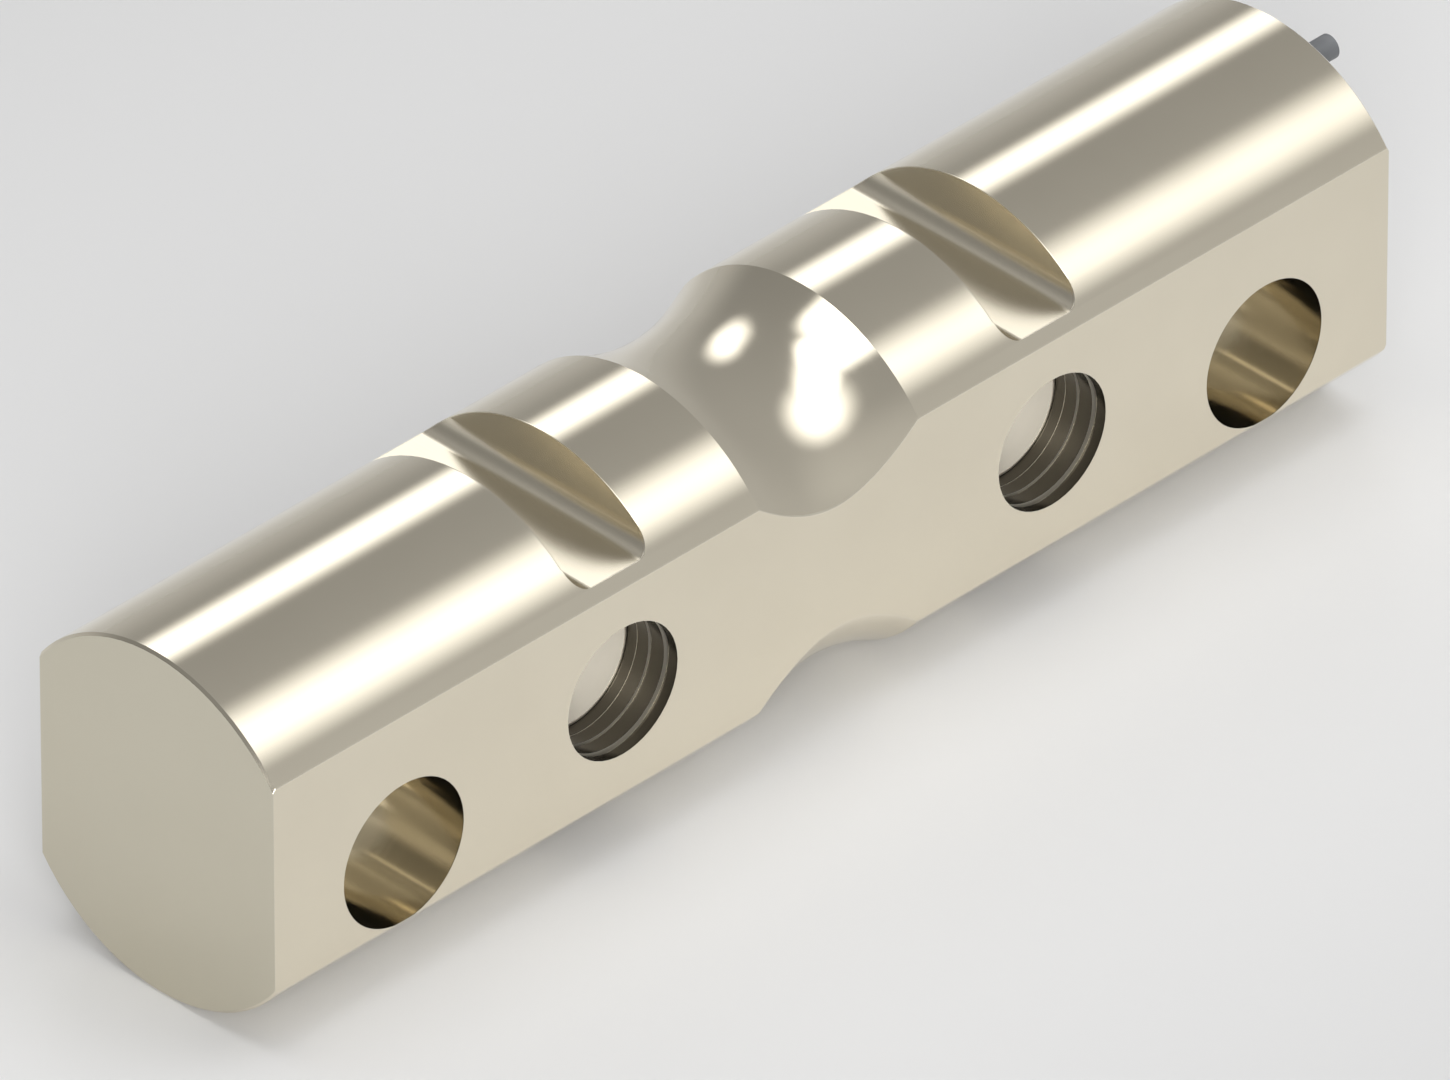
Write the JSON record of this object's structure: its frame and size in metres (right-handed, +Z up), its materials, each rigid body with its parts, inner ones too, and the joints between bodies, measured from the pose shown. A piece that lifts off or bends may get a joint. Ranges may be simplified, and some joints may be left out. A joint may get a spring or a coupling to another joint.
{
  "type": "double ended beam load cell",
  "caption": "Round steel beam with milled flats, pin bores near its ends, sealed gauge pockets, cross notches and a turned waist; it weighs the load hung on the waist.",
  "frame": {"origin": "on the bar's axis, at the centre of the turned waist", "axes": "+X along the bar towards the cable end, +Y across the two milled flats, +Z up, away from the mounting bores' low side"},
  "size_m": [0.2813, 0.056, 0.07],
  "materials": {
    "nickel_steel": "ground and nickel plated steel, warm and bright",
    "sealing_disc": "thin stainless sheet, satin",
    "gland_metal": "turned stainless steel",
    "gauge_foil": "amber polyimide film with foil grids",
    "terminal_board": "glass and epoxy sheet with tinned pads",
    "gel": "soft clear silicone gel",
    "lead_insulation": "white fluoropolymer insulation",
    "board": "green circuit board",
    "resistor": "lacquered film resistors",
    "grommet_rubber": "black nitrile rubber",
    "cable_jacket": "slate grey polyurethane jacket",
    "cable_braid": "tinned copper braid",
    "core_red": "red insulation",
    "core_black": "black insulation",
    "core_green": "green insulation",
    "core_white": "white insulation"
  },
  "bodies": {
    "root": {"beam_body": "nickel_steel", "seal_disc_front_left": "sealing_disc", "seal_disc_front_right": "sealing_disc", "seal_disc_rear_left": "sealing_disc", "seal_disc_rear_right": "sealing_disc", "strain_gauge_front_left": "gauge_foil", "strain_gauge_front_right": "gauge_foil", "strain_gauge_rear_left": "gauge_foil", "strain_gauge_rear_right": "gauge_foil", "terminal_strip_front_left": "terminal_board", "terminal_strip_front_right": "terminal_board", "terminal_strip_rear_left": "terminal_board", "terminal_strip_rear_right": "terminal_board", "sealing_gel_front_left": "gel", "sealing_gel_front_right": "gel", "sealing_gel_rear_left": "gel", "sealing_gel_rear_right": "gel", "lead_wires_front_left": "lead_insulation", "lead_wires_front_right": "lead_insulation", "lead_wires_rear_left": "lead_insulation", "lead_wires_rear_right": "lead_insulation", "junction_board": "board", "trim_resistors": "resistor", "gland_screw": "gland_metal", "slip_washer": "gland_metal", "cable_grommet": "grommet_rubber", "cable_jacket": "cable_jacket", "cable_braid": "cable_braid", "core_red": "core_red", "core_black": "core_black", "core_green": "core_green", "core_white": "core_white"}
  },
  "joints": []
}
